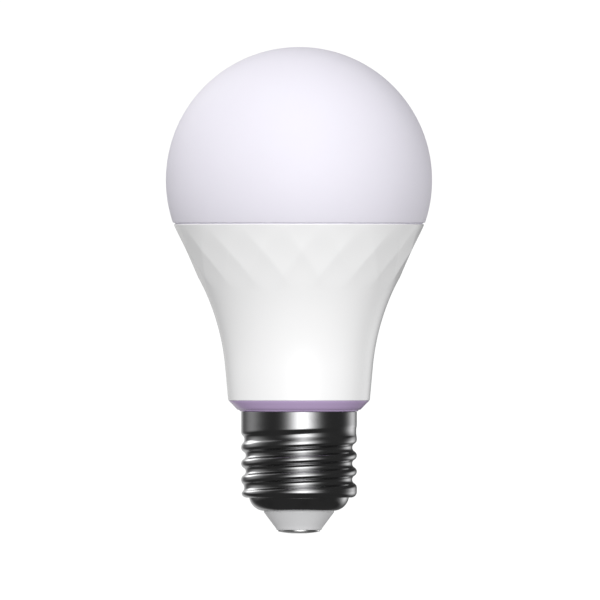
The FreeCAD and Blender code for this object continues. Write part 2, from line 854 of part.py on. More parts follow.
def make_transformer():
    """A ferrite frame with two windows, and the winding round its middle leg."""
    centre = mm.transformer_core_depth / 2 + mm.transformer_coil_build + back
    width, height, leg = mm.transformer_width, mm.transformer_height, mm.transformer_leg
    low_z = driver_top_z - height
    window_low, window_high = low_z + leg, driver_top_z - leg
    outline = rectangle(-width / 2, low_z, width / 2, driver_top_z)
    windows = [
        rectangle(leg, window_low, width / 2 - leg / 2, window_high),
        rectangle(-(width / 2 - leg / 2), window_low, -leg, window_high),
    ]
    core = new_body("transformer_core")
    near = centre - mm.transformer_core_depth / 2
    pad(core, "XZ_Plane", near, mm.transformer_core_depth, [outline] + windows)
    coil = new_body("transformer_winding")
    gap = mm.fit_clearance
    coil_height = window_high - window_low - 2 * gap
    coil_depth = mm.transformer_core_depth + 2 * mm.transformer_coil_build
    coil_outline = centred_rectangle(Size(0), -centre, width - leg - 2 * gap, coil_depth)
    leg_hole = centred_rectangle(Size(0), -centre, 2 * (leg + gap), mm.transformer_core_depth + 2 * gap)
    pad(coil, "XY_Plane", window_low + gap, coil_height, [coil_outline, leg_hole])


def make_choke():
    """A drum-core choke: two flanges and the wound waist."""
    radius, flange, waist = mm.choke_radius, mm.choke_flange, mm.choke_waist_radius
    body = revolve("filter_choke", [
        (0, 0),
        (radius, 0),
        (radius, flange),
        (waist, flange),
        (waist, mm.choke_height - flange),
        (radius, mm.choke_height - flange),
        (radius, mm.choke_height),
        (0, mm.choke_height),
    ])
    place(body, -(radius + mm.fit_clearance), -(back + radius + mm.fit_clearance), parts_low_z)


def make_driver_parts():
    make_capacitor("input_capacitor", -1, mm.input_capacitor_length)
    make_capacitor("output_capacitor", 1, mm.output_capacitor_length)
    make_transformer()
    make_choke()
    film_x = mm.film_width / 2 + mm.board_clearance
    block("film_capacitor", film_x, mm.film_width, back, mm.film_depth, parts_low_z, mm.film_height)
    bridge_z = tongue_top_z - mm.bridge_height
    block("bridge_rectifier", Size(0), mm.bridge_width, -back - mm.bridge_depth, mm.bridge_depth,
          bridge_z, mm.bridge_height)
    chip_z = driver_top_z - mm.chip_height
    block("driver_chip", -(driver_half - mm.chip_width / 2), mm.chip_width, -back - mm.chip_depth,
          mm.chip_depth, chip_z, mm.chip_height)
    fuse = revolve("input_fuse", [
        (0, 0), (mm.fuse_radius, 0), (mm.fuse_radius, mm.fuse_length), (0, mm.fuse_length)])
    place(fuse, 0, back + mm.fuse_radius + mm.fit_clearance, tongue_low_z + mm.board_clearance)
    varistor = new_body("varistor")
    disc = [(Size(0), tongue_low_z + mm.varistor_radius + mm.board_clearance, mm.varistor_radius)]
    pad(varistor, "XZ_Plane", back, mm.varistor_thickness, [], disc)


def make_radio():
    """A small radio module that stands through the light board, so that its antenna is clear of metal."""
    low_z = plate_z - mm.radio_board_drop
    high_z = light_z + mm.radio_board_reach
    far = -(radio_y + mm.radio_board_thickness / 2)
    block("radio_board", Size(0), mm.radio_board_width, far, mm.radio_board_thickness, low_z, high_z - low_z)
    header = -(back + mm.radio_header_depth)
    block("radio_header", Size(0), mm.radio_header_width, header, mm.radio_header_depth,
          low_z, mm.radio_header_height)
    shield_z = light_z + mm.radio_shield_lift
    block("radio_shield", Size(0), mm.radio_shield_width, far - mm.radio_shield_depth,
          mm.radio_shield_depth, shield_z, mm.radio_shield_height)
    make_antenna(far - mm.antenna_thickness, shield_z + mm.radio_shield_height + mm.antenna_track)


def make_antenna(front, low_z):
    """A flat folded track: upright bars joined in turn at the top and at the foot."""
    track, height = mm.antenna_track, mm.antenna_height
    left = -(ANTENNA_BARS - 0.5) * track
    body = new_body("radio_antenna")
    for bar in range(ANTENNA_BARS):
        start = left + 2 * bar * track
        upright = rectangle(start, low_z, start + track, low_z + height)
        pad(body, "XZ_Plane", front, mm.antenna_thickness, [upright])
        if bar:
            level = low_z + height - track if bar % 2 else low_z
            link = rectangle(start - track, level, start, level + track)
            pad(body, "XZ_Plane", front, mm.antenna_thickness, [link])


def make_socket():
    body = new_body("board_socket")
    outline = centred_rectangle(Size(0), Size(0), mm.socket_width, mm.socket_depth)
    pad(body, "XY_Plane", light_z, mm.socket_height, [outline])


# ---------------------------------------------------------------------------------------------
# Leads
# ---------------------------------------------------------------------------------------------


def make_lead(label, corners):
    """A round lead along straight runs joined by tangent arcs, in the plane of the driver board."""
    points = [FreeCAD.Vector(x.value, 0, z.value) for x, z in corners]
    edges = []
    start = points[0]
    for before, corner, after in zip(points, points[1:], points[2:]):
        incoming, outgoing = (corner - before), (after - corner)
        half_turn = incoming.getAngle(outgoing) / 2
        reach = 0.45 * min(incoming.Length, outgoing.Length)
        enter = corner - incoming.normalize() * reach
        leave = corner + outgoing.normalize() * reach
        radius = reach / math.tan(half_turn)
        inward = (enter + leave) / 2 - corner
        middle = corner + inward.normalize() * radius * (1 / math.cos(half_turn) - 1)
        edges += [Part.makeLine(start, enter), Part.Arc(enter, middle, leave).toShape()]
        start = leave
    edges.append(Part.makeLine(start, points[-1]))
    path = Part.Wire(edges)
    circle = Part.Circle(points[0], points[1] - points[0], mm.lead_radius.value).toShape()
    piece = doc.addObject("Part::Feature", label)
    piece.Label = label
    piece.Shape = path.makePipeShell([Part.Wire([circle])], True, False)
    pieces.append(piece)


def make_leads():
    """The live lead ends on the contact's stem and the neutral lead at the shell's wall."""
    stem_top_z = mm.contact_height + mm.contact_stem_height
    spigot_foot_z = shell_top_z - mm.spigot_length
    drop = tongue_low_z - stem_top_z
    make_lead("live_lead", [
        (mm.live_lead_offset, tongue_low_z),
        (mm.live_lead_offset, tongue_low_z - drop / 4),
        (Size(0), stem_top_z + drop / 4),
        (Size(0), stem_top_z),
    ])
    level_z = (spigot_foot_z + lip_z + mm.insulator_neck_height) / 2
    make_lead("neutral_lead", [
        (-mm.neutral_lead_offset, tongue_low_z),
        (-mm.neutral_lead_offset, tongue_low_z - (tongue_low_z - level_z) / 2),
        (-(mm.neutral_lead_offset + shell_bore_radius) / 2, level_z),
        (-(shell_bore_radius - mm.fit_clearance), level_z),
    ])


# ---------------------------------------------------------------------------------------------
# Build, check and write
# ---------------------------------------------------------------------------------------------


def check_document():
    failed = [item.Label for item in doc.Objects if {"Invalid", "Error"} & set(item.State)]
    bad = [piece.Label for piece in pieces if piece.Shape.isNull() or not piece.Shape.isValid()]
    many = [piece.Label for piece in pieces if len(piece.Shape.Solids) != 1]
    if failed or bad or many:
        raise RuntimeError(f"failed {failed}, invalid {bad}, not one solid {many}")


def main():
    make_centre_contact()
    make_base_insulator()
    make_screw_shell()
    make_collar()
    make_housing()
    make_globe()
    make_spreader()
    make_light_board()
    make_board_screws()
    make_sources()
    make_driver_board()
    make_driver_parts()
    make_radio()
    make_socket()
    make_leads()
    doc.recompute()
    check_document()
    os.makedirs("parts", exist_ok=True)
    for piece in pieces:
        piece.Shape.exportStep(f"parts/{piece.Label}.step")
    print(len(pieces), "pieces")


main()
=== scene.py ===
"""Dresses the smart LED bulb: finishes, the knuckle thread, the facet band, studio light and camera."""

import json
import math

import bpy
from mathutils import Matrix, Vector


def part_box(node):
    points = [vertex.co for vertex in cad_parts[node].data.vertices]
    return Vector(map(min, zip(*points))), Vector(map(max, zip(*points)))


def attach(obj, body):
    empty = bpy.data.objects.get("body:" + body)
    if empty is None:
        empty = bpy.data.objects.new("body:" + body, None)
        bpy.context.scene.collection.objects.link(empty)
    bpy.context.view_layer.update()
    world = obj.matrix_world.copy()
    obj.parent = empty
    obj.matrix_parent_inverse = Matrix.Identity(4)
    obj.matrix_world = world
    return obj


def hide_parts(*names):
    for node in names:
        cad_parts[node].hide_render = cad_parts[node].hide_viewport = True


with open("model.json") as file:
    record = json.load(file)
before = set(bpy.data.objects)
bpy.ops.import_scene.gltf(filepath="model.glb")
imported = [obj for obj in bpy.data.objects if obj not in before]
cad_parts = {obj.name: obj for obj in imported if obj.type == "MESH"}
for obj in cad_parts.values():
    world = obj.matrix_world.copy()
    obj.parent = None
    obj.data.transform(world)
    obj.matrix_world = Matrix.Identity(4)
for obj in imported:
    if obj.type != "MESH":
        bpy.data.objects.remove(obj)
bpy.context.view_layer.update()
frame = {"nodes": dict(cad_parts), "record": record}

MM = 0.001
BODY = "root"

# ---------------------------------------------------------------------------------------------
# Sizes in millimetres, worked out from the frame where it has them
# ---------------------------------------------------------------------------------------------


def node_box(node):
    low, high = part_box(node)
    return [value / MM for value in low], [value / MM for value in high]


SHELL_LOW, SHELL_HIGH = node_box("screw_shell")
HOUSING_LOW, HOUSING_HIGH = node_box("housing_shell")
GLOBE_LOW, GLOBE_HIGH = node_box("diffuser_globe")
COLLAR_LOW, COLLAR_HIGH = node_box("collar_ring")
INSULATOR_LOW, INSULATOR_HIGH = node_box("base_insulator")
CONTACT_HIGH = node_box("centre_contact")[1]

# Screw cap
SHELL_RADIUS = SHELL_HIGH[0]
SHELL_WALL = 0.3
CORNER_ROUND = 1.3
LEDGE_WIDTH = 0.6
SHOULDER_RADIUS = SHELL_RADIUS - CORNER_ROUND - LEDGE_WIDTH
SHOULDER_ROUND = 2.16
SHOULDER_TURN = math.radians(24)
SHOULDER_START = math.radians(10)
BOWL_ROUND = 3.58
BOWL_RIM_RADIUS = SHOULDER_RADIUS - SHOULDER_ROUND * (1 - math.cos(SHOULDER_TURN))
BOWL_RADIUS = BOWL_RIM_RADIUS - BOWL_ROUND * math.cos(SHOULDER_TURN)
MOUTH_FLAT = 0.17
SHELL_MOUTH = BOWL_RADIUS - MOUTH_FLAT
BAND_HEIGHT = 3.9
THREAD_PITCH = 3.629
THREAD_DEPTH = 1.05
THREAD_ROOT_DROP = 4.07
THREAD_RUNOUT = 4.7
THREAD_LEAD_IN = 2.13
LIP_Z = SHELL_LOW[2]
BOWL_RIM_Z = LIP_Z + BOWL_ROUND * (1 - math.sin(SHOULDER_TURN))
LEDGE_Z = BOWL_RIM_Z + SHOULDER_ROUND * math.sin(SHOULDER_TURN)
THREAD_LOW_Z = LEDGE_Z + CORNER_ROUND
SHELL_TOP_Z = SHELL_HIGH[2]
THREAD_HIGH_Z = SHELL_TOP_Z - BAND_HEIGHT

# Insulator and contact
INSULATOR_FOOT = 5.22
INSULATOR_TOP = INSULATOR_HIGH[0]
INSULATOR_RIM = 0.32
CONTACT_RADIUS = CONTACT_HIGH[0]
CONTACT_HEIGHT = INSULATOR_LOW[2]
CONTACT_FLAT = 1.7
CONTACT_EDGE = 0.42
CONTACT_DOME = 22.0
STEM_RADIUS = 1.2

# Collar
COLLAR_GAP = 0.25
COLLAR_OVERHANG = 0.3
COLLAR_FOOT = SHELL_RADIUS + COLLAR_OVERHANG
COLLAR_TOP = COLLAR_HIGH[0]
COLLAR_BORE = 9.9

# Housing
FOOT_Z = HOUSING_LOW[2]
RIM_Z = HOUSING_HIGH[2]
FOOT_RADIUS = 16.04
NECK_HEIGHT = 7.66
NECK_ANGLE = math.radians(5.2)
FLARE_RADIUS = 52.8
CONE_ANGLE = math.radians(25.2)
HOUSING_WALL = 2.0
NECK_Z = FOOT_Z + NECK_HEIGHT
NECK_RADIUS = FOOT_RADIUS + NECK_HEIGHT * math.tan(NECK_ANGLE)
CONE_Z = NECK_Z + FLARE_RADIUS * (math.sin(CONE_ANGLE) - math.sin(NECK_ANGLE))
CONE_RADIUS = NECK_RADIUS + FLARE_RADIUS * (math.cos(NECK_ANGLE) - math.cos(CONE_ANGLE))

# Facets moulded below the rim: two families of creases that lean opposite ways
FACETS = 18
FACET_ROW = 6.07
FACET_BAND = 15.2
FACET_DEPTH = 0.18
FACET_LIFT = 1.33
FACET_TURN = math.radians(-78.55)
FACET_STEPS = 12

# Globe
GLOBE_RADIUS = GLOBE_HIGH[0]
GLOBE_WALL = 1.2
GLOBE_CENTRE_Z = GLOBE_HIGH[2] - GLOBE_RADIUS
GLOBE_FOOT_GAP = 0.22
LIP_RADIUS = 24.9
LIP_WALL = 1.5

# Between pieces that fit in each other, and between the shell's top edge and the collar
FIT_GAP = 0.1
TOP_EDGE_GAP = 0.05

COLUMNS = 2 * FACETS * FACET_STEPS

# ---------------------------------------------------------------------------------------------
# Node trees written as expressions
# ---------------------------------------------------------------------------------------------


class Wire:
    """An output socket. Arithmetic on it adds Math nodes to its tree."""

    def __init__(self, tree, socket):
        self.tree = tree
        self.socket = socket

    def math(self, operation, *others):
        return self.tree.add("ShaderNodeMath", [self, *others], operation=operation)

    def __add__(self, other):
        return self.math("ADD", other)

    def __sub__(self, other):
        return self.math("SUBTRACT", other)

    def __mul__(self, other):
        return self.math("MULTIPLY", other)

    def __truediv__(self, other):
        return self.math("DIVIDE", other)

    def __rsub__(self, other):
        return self.tree.add("ShaderNodeMath", [other, self], operation="SUBTRACT")

    __radd__ = __add__
    __rmul__ = __mul__

    def sine(self):
        return self.math("SINE")

    def root(self):
        return self.math("SQRT")

    def size(self):
        return self.math("ABSOLUTE")

    def part(self):
        return self.math("FRACT")

    def nearest(self):
        return self.math("ROUND")

    def least(self, other):
        return self.math("MINIMUM", other)

    def most(self, other):
        return self.math("MAXIMUM", other)

    def above(self, other):
        return self.math("GREATER_THAN", other)

    def clamp(self, low=0.0, high=1.0):
        return self.most(low).least(high)

    def fade(self, start, end):
        """0 up to start and 1 from end on, with a smooth step between them."""
        return self.tree.add(
            "ShaderNodeMapRange", {"Value": self, "From Min": start, "From Max": end},
            interpolation_type="SMOOTHSTEP")


class Tree:
    """A node tree. add() makes any node: its settings first, then the values or links of its sockets."""

    def __init__(self, tree):
        self.tree = tree
        tree.nodes.clear()

    def node(self, kind, inputs=(), **settings):
        node = self.tree.nodes.new(kind)
        for name, value in settings.items():
            setattr(node, name, value)
        pairs = inputs.items() if isinstance(inputs, dict) else enumerate(inputs)
        for key, value in pairs:
            if isinstance(value, Wire):
                self.tree.links.new(value.socket, node.inputs[key])
            else:
                node.inputs[key].default_value = value
        return node

    def add(self, kind, inputs=(), output=0, **settings):
        return Wire(self, self.node(kind, inputs, **settings).outputs[output])


def mix(tree, factor, first, second):
    """A colour between two colours."""
    first = (*first, 1.0) if isinstance(first, tuple) else first
    second = (*second, 1.0) if isinstance(second, tuple) else second
    return tree.add("ShaderNodeMix", {0: factor, 6: first, 7: second}, output=2, data_type="RGBA")


def noise(tree, place, scale, detail=2.0, roughness=0.5):
    return tree.add("ShaderNodeTexNoise",
                    {"Vector": place, "Scale": scale, "Detail": detail, "Roughness": roughness})


def bump(tree, height, depth, strength=1.0):
    """A normal from a height between 0 and 1, of a depth in millimetres."""
    return tree.add("ShaderNodeBump", {"Height": height, "Distance": depth * MM, "Strength": strength})


def object_place(tree):
    return tree.add("ShaderNodeTexCoord", output=3)


def new_material(name, build):
    """A material whose build function returns the Principled shader's sockets by name."""
    made = bpy.data.materials.new(name)
    made.use_nodes = True
    tree = Tree(made.node_tree)
    place = object_place(tree)
    shader = tree.add("ShaderNodeBsdfPrincipled", build(tree, place))
    tree.node("ShaderNodeOutputMaterial", {"Surface": shader})
    return made


# ---------------------------------------------------------------------------------------------
# Finishes
# ---------------------------------------------------------------------------------------------


def moulded(name, colour, roughness, variation=0.04, grain=0.004, grain_scale=2600.0, **extra):
    """Moulded plastic: a fine spark-eroded grain, and slight drifts of tone and gloss."""
    def build(tree, place):
        tone = noise(tree, place, 90.0, 3.0)
        darker = tuple(value * (1 - variation) for value in colour)
        grainy = noise(tree, place, grain_scale, 2.0, 0.6)
        return {
            "Base Color": mix(tree, tone, darker, colour),
            "Roughness": roughness + (noise(tree, place, 160.0) - 0.5) * 0.08,
            "Normal": bump(tree, grainy, grain),
            **extra,
        }
    return new_material(name, build)


def plated(name, colour, roughness, scratch=0.002):
    """Plated sheet metal: drawing lines round the axis, faint smears and a little tarnish."""
    def build(tree, place):
        parts = tree.node("ShaderNodeSeparateXYZ", [place])
        height = Wire(tree, parts.outputs[2])
        rings = tree.add("ShaderNodeTexNoise", {"W": height * 5200.0, "Detail": 2.0}, noise_dimensions="1D")
        smears = noise(tree, place, 220.0, 4.0, 0.6)
        dull = tuple(value * 0.82 for value in colour)
        return {
            "Base Color": mix(tree, smears.fade(0.45, 0.8), colour, dull),
            "Metallic": 1.0,
            "Roughness": roughness + smears * 0.06 + (rings - 0.5) * 0.05,
            "Normal": bump(tree, rings, scratch),
        }
    return new_material(name, build)


def make_finishes():
    opal = moulded("opal_polycarbonate", (0.885, 0.855, 0.96), 0.55, 0.015, 0.003, 1800.0,
                   **{"Subsurface Weight": 0.25, "Subsurface Scale": 0.004,
                      "Subsurface Radius": (1.0, 0.95, 1.0)})
    return {
        "opal_polycarbonate": opal,
        "white_plastic": moulded("white_plastic", (0.97, 0.97, 0.972), 0.2, 0.012),
        "lilac_plastic": moulded("lilac_plastic", (0.6, 0.455, 0.72), 0.17, 0.05),
        "grey_insulator": moulded("grey_insulator", (0.78, 0.78, 0.79), 0.4, 0.06),
        "nickel_plate": plated("nickel_plate", (0.44, 0.44, 0.445), 0.1),
        "contact_metal": plated("contact_metal", (0.8, 0.8, 0.8), 0.22),
        "aluminium": plated("aluminium", (0.82, 0.82, 0.84), 0.35),
        "steel": plated("steel", (0.66, 0.66, 0.66), 0.28),
        "copper_track": plated("copper_track", (0.85, 0.5, 0.3), 0.3),
        "silicone": moulded("silicone", (0.72, 0.72, 0.72), 0.55),
        "white_solder_mask": moulded("white_solder_mask", (0.88, 0.88, 0.86), 0.3, 0.02),
        "green_board": moulded("green_board", (0.02, 0.2, 0.07), 0.3, 0.3),
        "black_plastic": moulded("black_plastic", (0.02, 0.02, 0.022), 0.5, 0.3),
        "socket_plastic": moulded("socket_plastic", (0.8, 0.77, 0.68), 0.45),
        "film_case": moulded("film_case", (0.62, 0.36, 0.03), 0.35, 0.1),
        "capacitor_sleeve": moulded("capacitor_sleeve", (0.02, 0.025, 0.06), 0.25, 0.2),
        "ferrite": moulded("ferrite", (0.05, 0.05, 0.055), 0.6, 0.3, 0.01, 1500.0),
        "winding_tape": moulded("winding_tape", (0.75, 0.5, 0.05), 0.3, 0.1),
        "fuse_body": moulded("fuse_body", (0.16, 0.3, 0.18), 0.4, 0.1),
        "varistor_coat": moulded("varistor_coat", (0.03, 0.08, 0.3), 0.3, 0.2),
        "red_insulation": moulded("red_insulation", (0.45, 0.01, 0.01), 0.4, 0.1),
        "black_insulation": moulded("black_insulation", (0.02, 0.02, 0.02), 0.4, 0.2),
        "cool_phosphor": moulded("cool_phosphor", (0.85, 0.78, 0.25), 0.45, 0.1),
        "warm_phosphor": moulded("warm_phosphor", (0.9, 0.48, 0.1), 0.45, 0.1),
        "colour_phosphor": moulded("colour_phosphor", (0.78, 0.78, 0.8), 0.35, 0.05),
    }


# ---------------------------------------------------------------------------------------------
# Turned meshes
# ---------------------------------------------------------------------------------------------


def line(start, end, steps=1):
    """Points from start up to but not including end."""
    return [tuple(a + (b - a) * step / steps for a, b in zip(start, end)) for step in range(steps)]


def arc(centre, radius, start, end, steps):
    """Points on an arc, by angles from the outward direction, up to but not including its end."""
    angles = [start + (end - start) * step / steps for step in range(steps)]
    return [(centre[0] + radius * math.cos(angle), centre[1] + radius * math.sin(angle)) for angle in angles]


def turned(name, outline, material, columns=COLUMNS):
    """A closed mesh of revolution from a loop of (radius, height) points, anticlockwise in section."""
    vertices = []
    rings = []
    for radius, height in outline:
        if radius < 1e-9:
            rings.append([len(vertices)] * columns)
            vertices.append((0, 0, height * MM))
            continue
        rings.append(range(len(vertices), len(vertices) + columns))
        for column in range(columns):
            angle = 2 * math.pi * column / columns
            vertices.append((radius * math.cos(angle) * MM, radius * math.sin(angle) * MM, height * MM))
    faces = []
    for ring, above in zip(rings, rings[1:] + rings[:1]):
        for column in range(columns):
            after = (column + 1) % columns
            corners = [ring[column], ring[after], above[after], above[column]]
            corners = list(dict.fromkeys(corners))
            if len(corners) > 2:
                faces.append(corners)
    mesh = bpy.data.meshes.new(name)
    mesh.from_pydata(vertices, [], faces)
    mesh.shade_smooth()
    mesh.set_sharp_from_angle(angle=math.radians(35))
    mesh.materials.append(material)
    piece = bpy.data.objects.new(name, mesh)
    bpy.context.scene.collection.objects.link(piece)
    return piece


def stand_for(piece, node):
    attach(piece, BODY)
    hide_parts(node)


# ---------------------------------------------------------------------------------------------
# Shapes that follow a rule, by Geometry Nodes
# ---------------------------------------------------------------------------------------------


def shape_by_rule(piece, name, sizes, rule, material):
    """Moves a piece's points by a rule on named sizes, and leaves a plain mesh."""
    group = bpy.data.node_groups.new(name, "GeometryNodeTree")
    tree = Tree(group)
    group.interface.new_socket("Mesh", in_out="INPUT", socket_type="NodeSocketGeometry")
    group.interface.new_socket("Mesh", in_out="OUTPUT", socket_type="NodeSocketGeometry")
    keys = {}
    for label, value in sizes.items():
        socket = group.interface.new_socket(label, in_out="INPUT", socket_type="NodeSocketFloat")
        keys[socket.identifier] = value
    entry = tree.node("NodeGroupInput")
    inputs = {label: Wire(tree, entry.outputs[label]) for label in sizes}
    position = tree.add("GeometryNodeInputPosition")
    parts = tree.node("ShaderNodeSeparateXYZ", [position])
    x, y, z = (Wire(tree, output) / MM for output in parts.outputs)
    radius = (x * x + y * y).root()
    angle = y.math("ARCTAN2", x)
    new_radius = rule(radius, angle, z, inputs)
    grown = new_radius / radius.most(1e-6)
    moved = tree.add("ShaderNodeCombineXYZ", [x * grown * MM, y * grown * MM, z * MM])
    entering = Wire(tree, entry.outputs[0])
    shaped = tree.add("GeometryNodeSetPosition", {"Geometry": entering, "Position": moved})
    plain = tree.add("GeometryNodeRealizeInstances", [shaped])
    finished = tree.add("GeometryNodeSetMaterial", {"Geometry": plain, "Material": material})
    tree.node("NodeGroupOutput", [finished])
    modifier = piece.modifiers.new(name, "NODES")
    modifier.node_group = group
    for key, value in keys.items():
        modifier[key] = value
    evaluated = piece.evaluated_get(bpy.context.evaluated_depsgraph_get())
    mesh = bpy.data.meshes.new_from_object(evaluated)
    piece.modifiers.clear()
    piece.data = mesh


def thread_rule(radius, angle, z, sizes):
    """A right-hand knuckle thread of two tangent arcs. A groove grows shallow as its root nears an end."""
    pitch, depth = sizes["Pitch"], sizes["Depth"]
    half = pitch / 2
    curve = (half * half + depth * depth) / (depth * 4)
    phase = (z - sizes["Root"]) / pitch - angle / (2 * math.pi)
    off_root = (phase - phase.nearest()) * pitch
    root = z - off_root
    run = ((root - sizes["Low"]) / sizes["Lead in"]).least((sizes["High"] - root) / sizes["Runout"]).clamp()
    away = off_root.size()
    near_crest = away.above(half / 2)
    reach = away + near_crest * (half - away * 2)
    drop = (curve - (curve * curve - reach * reach).most(0.0).root()) / depth
    profile = near_crest * drop + (1 - near_crest) * (1 - drop)
    on_wall = radius.above(sizes["Wall"])
    return radius - depth * (run * (math.pi / 2)).sine() * profile * on_wall


def facet_rule(radius, angle, z, sizes):
    """Shallow cells between creases that lean both ways, fading out at the rim and at the foot."""
    count, rim = sizes["Facets"], sizes["Rim"]
    lean = (rim - z) / sizes["Row"] * 0.5
    place = (angle - sizes["Turn"]) * count / (2 * math.pi)
    down = ((rim - z) / sizes["Band"]).clamp()
    envelope = (down * math.pi).sine()
    first, second = (place + lean).part(), (place - lean).part()
    hollow = first * (1 - first) * 4 + second * (1 - second) * 4
    outside = radius.above(sizes["Wall foot"] + (z - sizes["Wall foot height"]) * sizes["Slope"])
    return radius + sizes["Depth"] * envelope * (sizes["Lift"] - hollow) * outside


# ---------------------------------------------------------------------------------------------
# The lamp's own pieces
# ---------------------------------------------------------------------------------------------


def bowl_section(depth):
    """The shoulder below the thread, from the mouth's flat up to the ledge, moved inwards by a depth."""
    bowl_centre = (BOWL_RADIUS, LIP_Z + BOWL_ROUND)
    shoulder = (LEDGE_Z - BOWL_RIM_Z) / (math.sin(SHOULDER_TURN) - math.sin(SHOULDER_START))
    centre = (
        BOWL_RIM_RADIUS - shoulder * math.cos(SHOULDER_TURN),
        BOWL_RIM_Z + shoulder * math.sin(SHOULDER_TURN),
    )
    ledge_radius = centre[0] + shoulder * math.cos(SHOULDER_START)
    return [
        *arc(bowl_centre, BOWL_ROUND - depth, -math.pi / 2, -SHOULDER_TURN, 16),
        *arc(centre, shoulder - depth, -SHOULDER_TURN, -SHOULDER_START, 6),
        (ledge_radius - depth, LEDGE_Z),
    ]


def make_screw_shell(finishes):
    corner_centre = (SHELL_RADIUS - CORNER_ROUND, THREAD_LOW_Z)
    edge = 0.12
    bore = SHELL_RADIUS - THREAD_DEPTH - SHELL_WALL
    band_bore = SHELL_RADIUS - SHELL_WALL
    top_z = SHELL_TOP_Z + COLLAR_GAP - TOP_EDGE_GAP
    lip_top = LIP_Z + SHELL_WALL
    ledge_top = (SHOULDER_RADIUS - SHELL_WALL, LEDGE_Z + SHELL_WALL)
    rows = 150
    outline = [
        (SHELL_MOUTH, LIP_Z),
        *bowl_section(0.0),
        *line((SHOULDER_RADIUS + edge, LEDGE_Z), (corner_centre[0], LEDGE_Z), 3),
        *arc(corner_centre, CORNER_ROUND, -math.pi / 2, 0, 14),
        *line((SHELL_RADIUS, THREAD_LOW_Z), (SHELL_RADIUS, THREAD_HIGH_Z), rows),
        *line((SHELL_RADIUS, THREAD_HIGH_Z), (SHELL_RADIUS, top_z - edge), 20),
        *arc((SHELL_RADIUS - edge, top_z - edge), edge, 0, math.pi / 2, 4),
        *line((SHELL_RADIUS - edge, top_z), (band_bore, top_z)),
        *line((band_bore, top_z), (band_bore, THREAD_HIGH_Z)),
        *line((band_bore, THREAD_HIGH_Z), (bore, THREAD_HIGH_Z - THREAD_DEPTH)),
        *line((bore, THREAD_HIGH_Z - THREAD_DEPTH), (bore, ledge_top[1])),
        *line((bore, ledge_top[1]), ledge_top),
        ledge_top,
        *reversed(bowl_section(SHELL_WALL)),
        (SHELL_MOUTH, lip_top),
    ]
    piece = turned("screw_cap_shell", outline, finishes["nickel_plate"], 192)
    sizes = {
        "Pitch": THREAD_PITCH, "Depth": THREAD_DEPTH, "Low": THREAD_LOW_Z, "High": THREAD_HIGH_Z,
        "Root": THREAD_HIGH_Z - THREAD_ROOT_DROP, "Lead in": THREAD_LEAD_IN, "Runout": THREAD_RUNOUT,
        "Wall": SHELL_RADIUS - CORNER_ROUND - 0.02,
    }
    shape_by_rule(piece, "knuckle_thread", sizes, thread_rule, finishes["nickel_plate"])
    stand_for(piece, "screw_shell")


def housing_side(depth, steps):
    """The housing wall's section from foot to rim, moved inwards by a depth."""
    cos_neck, sin_neck = math.cos(NECK_ANGLE), math.sin(NECK_ANGLE)
    cos_cone, sin_cone = math.cos(CONE_ANGLE), math.sin(CONE_ANGLE)
    foot = (FOOT_RADIUS - depth / cos_neck, FOOT_Z)
    neck = (NECK_RADIUS - depth * cos_neck, NECK_Z + depth * sin_neck)
    cone = (CONE_RADIUS - depth * cos_cone, CONE_Z + depth * sin_cone)
    rim = (CONE_RADIUS - depth / cos_cone + (RIM_Z - CONE_Z) * math.tan(CONE_ANGLE), RIM_Z)
    centre = (NECK_RADIUS + FLARE_RADIUS * cos_neck, NECK_Z - FLARE_RADIUS * sin_neck)
    flare = arc(centre, FLARE_RADIUS + depth, math.pi - NECK_ANGLE, math.pi - CONE_ANGLE, steps)
    return foot, neck, flare, cone, rim


def make_housing(finishes):
    foot, neck, flare, _, rim = housing_side(0.0, 24)
    in_foot, in_neck, in_flare, in_cone, in_rim = housing_side(HOUSING_WALL, 12)
    edge = 0.25
    foot_edge = 0.08
    slope = math.tan(CONE_ANGLE)
    band_rows = round(FACET_BAND / FACET_ROW * FACET_STEPS)
    band_foot_z = RIM_Z - FACET_BAND
    band_foot = (rim[0] - FACET_BAND * slope, band_foot_z)
    rim_low = (rim[0] - edge * slope, RIM_Z - edge)
    outline = [
        *line((foot[0] - foot_edge, FOOT_Z), (foot[0], FOOT_Z + foot_edge)),
        *line((foot[0] + foot_edge * math.tan(NECK_ANGLE), FOOT_Z + foot_edge), neck, 8),
        *flare,
        *line(band_foot, rim_low, band_rows),
        *arc((rim_low[0] - edge, rim_low[1]), edge, 0, math.pi / 2, 4),
        *line((rim[0] - 2 * edge, RIM_Z), in_rim),
        *line(in_rim, in_cone),
        in_cone,
        *reversed(in_flare),
        *line(in_neck, in_foot),
        *line(in_foot, (foot[0] - foot_edge, FOOT_Z)),
    ]
    piece = turned("bulb_housing", outline, finishes["white_plastic"], COLUMNS)
    sizes = {
        "Facets": float(FACETS), "Rim": RIM_Z, "Row": FACET_ROW, "Band": FACET_BAND, "Turn": FACET_TURN,
        "Depth": FACET_DEPTH, "Lift": FACET_LIFT, "Wall foot": rim[0] - 1.0, "Wall foot height": RIM_Z,
        "Slope": slope,
    }
    shape_by_rule(piece, "moulded_facets", sizes, facet_rule, finishes["white_plastic"])
    stand_for(piece, "housing_shell")


